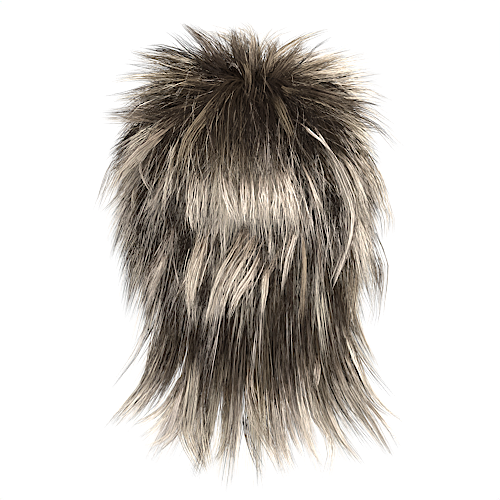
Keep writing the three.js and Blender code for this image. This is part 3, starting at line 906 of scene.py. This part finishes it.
def strand_tones(tier, strand, wisp, lock, path, along, rng):
    """The tone along each strand: dark at the root, then brown or blond from where it pales."""
    root = strand["root"]
    inner, light, bold = strand["inner"], strand["light"], strand["bold"]
    count = len(root)
    hang = hanging(strand["turn"])[:, None] ** 2
    fair = wisp["fair"] ^ (rng.uniform(0, 1, count) < np.interp(root, *OTHER_TONE))
    fair = np.where(inner, lock["blond"] > INNER_BLOND, fair | light)
    late = (wisp["begin"] + rng.normal(0, STRAND_BEGIN, count) + np.where(fair, 0, BROWN_LATE))[:, None]
    aside = (along - tier["begin"] - late) / PALING_SHARE
    below = (tier["pale_below"] - PER_METRE * path[..., 2] - LATE_DROP * late) / PALING_DROP
    rise = np.clip(aside + (below - aside) * hang + 0.5, 0, 1)
    standing = np.interp(root, *STANDING) * (1 - hang[:, 0])
    brown = BROWN_TONE + BROWN_VARIES * wisp["tone"] ** 2.0 + BROWN_STANDING * standing
    blond = BLOND_TONE + BLOND_RISES * wisp["tone"] - BLOND_STANDING * standing
    # Painted sheen: the blond of the upper rows is made paler where they hang at the back
    blond = blond + BLOND_BACK_SHEEN * hang[:, 0] * (root < UPPER_ROOTS)
    vary = np.where(bold, np.where(fair, BOLD_BLOND_TONE, BOLD_BROWN_TONE), PLAIN_TONE)
    uneven = rng.normal(0, 1, count) * vary * (STILL_TONE + (1 - STILL_TONE) * stillness(tier))
    top = np.clip(np.where(fair, blond, brown) + uneven, DARKEST, 1)[:, None]
    dark = rng.uniform(0, 1, count) ** 2.0 * np.interp(root, *ROOT_TONE)
    base = np.where(light, rng.uniform(*LIGHT_ROOT, count), dark)[:, None]
    return base + (rise * rise * (3 - 2 * rise)) * (top - base)


def sewn_hair(name, rng):
    """The hair of one row: strands drawn together into wisps, and wisps into locks."""
    tier = TIERS[name]
    place = ROOTS.index(tier["root"])
    low = (ROOTS[place - 1] + tier["root"]) / 2 if place else WHORL_HOLE
    high = (ROOTS[min(len(ROOTS) - 1, place + 1)] + tier["root"]) / 2
    count, span = tier["strands"], tier["span"]
    lock_places = scattered(tier["locks"], span, low, high, rng)
    wisp_places = scattered(tier["wisps"], span, low - WISP_SPILL, high + WISP_SPILL, rng)
    turn, root = scattered(count, span, max(1, low - STRAND_SPILL), high + STRAND_SPILL, rng)
    root = np.minimum(root, rim_fall(turn) - 1)
    locks = lock_habits(name, *lock_places, rng)
    wisps = wisp_habits(tier, *wisp_places, locks, rng)
    own = nearest(turn, root, wisps["turn"], wisps["root"])
    wisp = {habit: values[own] for habit, values in wisps.items()}
    lock = {habit: values[wisp["lock"]] for habit, values in locks.items()}
    strand = strand_habits(tier, turn, root, lock["length"] * wisp["length"], rng)
    path, across, along = strand_paths(tier, strand, wisp, lock, rng)
    slim = np.where(strand["inner"], COVERED, np.where(strand["bold"], BOLD, PLAIN))
    slim = np.where(strand["loose"] | strand["light"], FINE, slim)
    thick = (STRAND_RADIUS + LOWER_THICKER * root) * rng.uniform(*RADIUS_VARIES, count) * slim
    tone = strand_tones(tier, strand, wisp, lock, path, along, rng)
    hue = lock["hue"] + rng.normal(0, LOCK_HUE, count)
    kept = rng.uniform(0, 1, count) < np.interp(turn, THIN_TURNS, THIN.get(name, [1] * len(THIN_TURNS)))
    return fibres(path[kept], thick[kept], across[kept, 0], tone[kept], hue[kept])


def outer_spots():
    """Spots all over the rows that show from behind, and where the picture has them."""
    turn, along = np.meshgrid(SPOT_TURNS, SPOT_SHARES)
    spots = []
    for tier in TIERS.values():
        full = tier["short"][0] + (1 - tier["short"][0]) * hanging(turn)
        row = hair_point(np.full(turn.shape, float(tier["root"])), turn, along * full)
        spots.append(row[np.abs(turn) <= tier["span"]])
    spots = np.concatenate(spots)
    near = (VIEW_DISTANCE + spots[:, 1]) / VIEW_DISTANCE
    seen_x = PICTURE_MIDDLE + PER_METRE * spots[:, 0] / near
    seen_y = PICTURE_MIDDLE - PER_METRE * (spots[:, 2] - VIEW_HEIGHT) / near
    return spots, seen_x, seen_y


OUTER_SPOTS = outer_spots()


def on_hair(pixels):
    """Places in the picture carried onto the outside of the hair, in metres."""
    spots, seen_x, seen_y = OUTER_SPOTS
    apart = np.hypot(seen_x[None] - pixels[:, :1], seen_y[None] - pixels[:, 1:])
    outermost = np.where(apart < NEAR_PIXELS, spots[None, :, 1], 1).min(1)
    y = np.where(outermost < 1, outermost, spots[apart.argmin(1), 1])
    near = (VIEW_DISTANCE + y) / VIEW_DISTANCE
    x = MM * (pixels[:, 0] - PICTURE_MIDDLE) * near
    z = VIEW_HEIGHT + MM * (PICTURE_MIDDLE - pixels[:, 1]) * near
    return np.stack([x, y, z], -1)


def smooth_path(points, count):
    """Even places along a smooth line through points."""
    points = np.array(points, float)
    step = np.append(0, np.cumsum(np.linalg.norm(np.diff(points, axis=0), axis=1)))
    slope = np.gradient(points, step, axis=0)
    at = np.linspace(0, step[-1], count)
    i = np.clip(np.searchsorted(step, at) - 1, 0, len(step) - 2)
    gap = (step[i + 1] - step[i])[:, None]
    s = ((at - step[i]) / gap[:, 0])[:, None]
    return (
        (2 * s ** 3 - 3 * s ** 2 + 1) * points[i]
        + (s ** 3 - 2 * s ** 2 + s) * gap * slope[i]
        + (3 * s ** 2 - 2 * s ** 3) * points[i + 1]
        + (s ** 3 - s ** 2) * gap * slope[i + 1]
    )


def along_line(at, share, values):
    """Points or vectors between the ones of a line, at shares of its length."""
    return np.stack([np.interp(at, share, values[:, axis]) for axis in range(3)], -1)


def laid_lock(lock, rng):
    """One listed lock, as a bundle of strands that come out of the row and lie on it."""
    line = on_hair(smooth_path(lock["path"], LINE_STEPS))
    share = np.linspace(0, 1, LINE_STEPS)
    across, down = np.subtract(lock["path"][-1], lock["path"][0])
    manner = SPIKE if down < SPIKE_SLOPE * abs(across) else LYING
    depth = np.polynomial.Polynomial.fit(share, line[:, 1], manner["bends"])(share)
    run = np.append(0, np.cumsum(np.hypot(*np.diff(line[:, [0, 2]], axis=0).T)))
    reach = manner["steep"] * run
    line[:, 1] = np.clip(depth, depth[0] - reach, depth[0] + reach)
    out = unit(line * np.array([1, 1, 0]))
    over = lock.get("over", OVER_LEAST + OVER_PALE * lock["tone"][1])
    stages = [0, min(RISE_SHARE, RISE_LENGTH / run[-1]), 1]
    heights = [ROOT_SUNK, manner.get("sunk", over), over]
    line = line + MM * np.interp(share, stages, heights)[:, None] * out
    side = unit(np.cross(unit(np.gradient(line, axis=0)), out))
    count = int(LAID_DENSITY * lock["strands"])
    steps = LAID_STEPS + len(lock["path"]) // POINTS_A_STEP
    limits = (-LAID_WIDEST, LAID_WIDEST)
    spread = np.clip(rng.normal(0, LAID_SPREAD, count), *limits)
    ending = np.clip(LAID_KEEPS * spread + rng.normal(0, LAID_SPREAD, count), *limits)
    deep = rng.uniform(-1, 1, count)
    first = manner["first"] * rng.uniform(0, 1, count)
    last = 1 - LAID_SHORTER * rng.uniform(0, 1, count) ** LAID_FEW_SHORT
    at = first[:, None] + (last - first)[:, None] * np.linspace(0, 1, steps)[None]
    half = 0.5 * MM * np.interp(at, WIDTH_PLACES, lock["wide"])
    bow = rng.normal(0, LAID_BOW, count)[:, None]
    bow = bow * np.sin(math.pi * at * rng.uniform(*LAID_BENDS, count)[:, None])
    sideways = along_line(at, share, side)
    aside = spread[:, None] + (ending - spread)[:, None] * at + bow
    path = along_line(at, share, line) + (half * aside)[..., None] * sideways
    inwards = np.minimum(LAID_DEEP * half, LAID_DEEPEST) * deep[:, None]
    path = path + inwards[..., None] * along_line(at, share, out)
    tone = np.interp(at, TONE_PLACES, lock["tone"])
    shaded = rng.uniform(0, 1, count) < SHADED_SHARE
    shadow = rng.uniform(*SHADED, count)
    shade = np.where(shaded, shadow, rng.uniform(*LIT, count))
    hue = lock["gold"] + rng.normal(0, LAID_HUE, count)
    thick = LAID_RADIUS * rng.uniform(*LAID_RADIUS_VARIES, count)
    return fibres(path, thick, sideways[:, 0], tone * shade[:, None], hue)


hair_fibre = fibre_material()
for tier_name, tier_row in TIERS.items():
    chance = np.random.default_rng(tier_row["seed"])
    bundles = [sewn_hair(tier_name, chance)]
    bundles += [laid_lock(dict(zip(LOCK_COLUMNS, lock)), chance) for lock in LOCKS[tier_name]]
    starts = np.cumsum([0] + [len(corners) for corners, _, _ in bundles])
    hair = mesh_piece(
        tier_name.replace("tier", "hair"),
        np.concatenate([corners for corners, _, _ in bundles]),
        np.concatenate([triangles + start for (_, triangles, _), start in zip(bundles, starts)]),
        hair_fibre,
        np.concatenate([places for _, _, places in bundles]),
    )
    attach(hair, "root")
    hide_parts(tier_name)

# Floor. A wide disc of pale matt board that lies below the longest locks, for the wig to be shown over.
# It isn't part of the wig.
FLOOR_DROP = 0.3
FLOOR_RADIUS = 1.6
FLOOR_SIDES = 96
FLOOR_COLOUR = (0.92, 0.92, 0.92, 1)
FLOOR_ROUGHNESS = 0.8
bpy.ops.mesh.primitive_circle_add(vertices=FLOOR_SIDES, radius=FLOOR_RADIUS, fill_type="NGON",
                                  location=(0, 0, cad_low.z - FLOOR_DROP))
floor = bpy.context.active_object
floor.name = "floor"
board = new_material("pale floor", Roughness=FLOOR_ROUGHNESS, Base_Color=FLOOR_COLOUR)[0]
floor.data.materials.append(board)

# Studio light. A white surround, brighter low down where it meets the floor. A large soft light stands
# above the camera, a weaker one at its left, and one at the front of the wig.
SURROUND_COLOUR = (1, 1, 1, 1)
SURROUND_LIGHT = 0.35
SURROUND_SEEN = 0.67
LOW_SURROUND = 0.6
LOW_FROM = -0.105
LOW_TO = -0.18
LIGHT_AIM = (0, 0, -0.15)
LIGHTS = [
    dict(name="key", place=(1.0, -1.9, 1.1), size=0.9, power=130),
    dict(name="fill", place=(-1.7, -1.7, 0.5), size=1.2, power=39),
    dict(name="front", place=(-0.7, 2.2, 0.9), size=1.4, power=60),
]
world = bpy.data.worlds.new("studio")
world.use_nodes = True
surround = world.node_tree.nodes["Background"]
surround.inputs["Color"].default_value = SURROUND_COLOUR
glow = Wire(world.node_tree, None)
seen = glow.node("ShaderNodeLightPath", output=0)
way = glow.node("ShaderNodeTexCoord", output="Generated")
height = glow.node("ShaderNodeSeparateXYZ", inputs={0: way}, output=2)
lower = glow.node("ShaderNodeMapRange", inputs={"Value": height, "From Min": LOW_FROM, "From Max": LOW_TO})
strength = SURROUND_LIGHT + seen * (SURROUND_SEEN + lower * LOW_SURROUND)
world.node_tree.links.new(strength.socket, surround.inputs["Strength"])
bpy.context.scene.world = world
for row in LIGHTS:
    lamp = bpy.data.lights.new(row["name"], "AREA")
    lamp.size = row["size"]
    lamp.energy = row["power"]
    holder = bpy.data.objects.new(row["name"], lamp)
    holder.location = row["place"]
    x, y, z = np.subtract(LIGHT_AIM, row["place"])
    holder.rotation_euler = (math.atan2(math.hypot(x, y), -z), 0, math.atan2(-x, y))
    bpy.context.scene.collection.objects.link(holder)

# Camera. Level, behind the wig, with a long lens, so that one pixel is one millimetre at the middle of
# the wig. The picture is sharpened a little, as a studio camera does.
FRAME_WIDTH = 0.5
SENSOR_WIDTH = 36
SHARPENING = 0.2
camera = bpy.data.cameras.new("camera")
camera.sensor_width = SENSOR_WIDTH
camera.lens = SENSOR_WIDTH * VIEW_DISTANCE / FRAME_WIDTH
eye = bpy.data.objects.new("camera", camera)
eye.location = (0, -VIEW_DISTANCE, VIEW_HEIGHT)
eye.rotation_euler = (math.radians(90), 0, 0)
bpy.context.scene.collection.objects.link(eye)
bpy.context.scene.camera = eye
bpy.context.scene.view_settings.view_transform = "Standard"
bpy.context.scene.use_nodes = True
develop = bpy.context.scene.node_tree
develop.nodes.clear()
taken = develop.nodes.new("CompositorNodeRLayers")
crisp = develop.nodes.new("CompositorNodeFilter")
crisp.filter_type = "SHARPEN_DIAMOND"
crisp.inputs["Fac"].default_value = SHARPENING
picture = develop.nodes.new("CompositorNodeComposite")
develop.links.new(taken.outputs["Image"], crisp.inputs["Image"])
develop.links.new(crisp.outputs["Image"], picture.inputs["Image"])
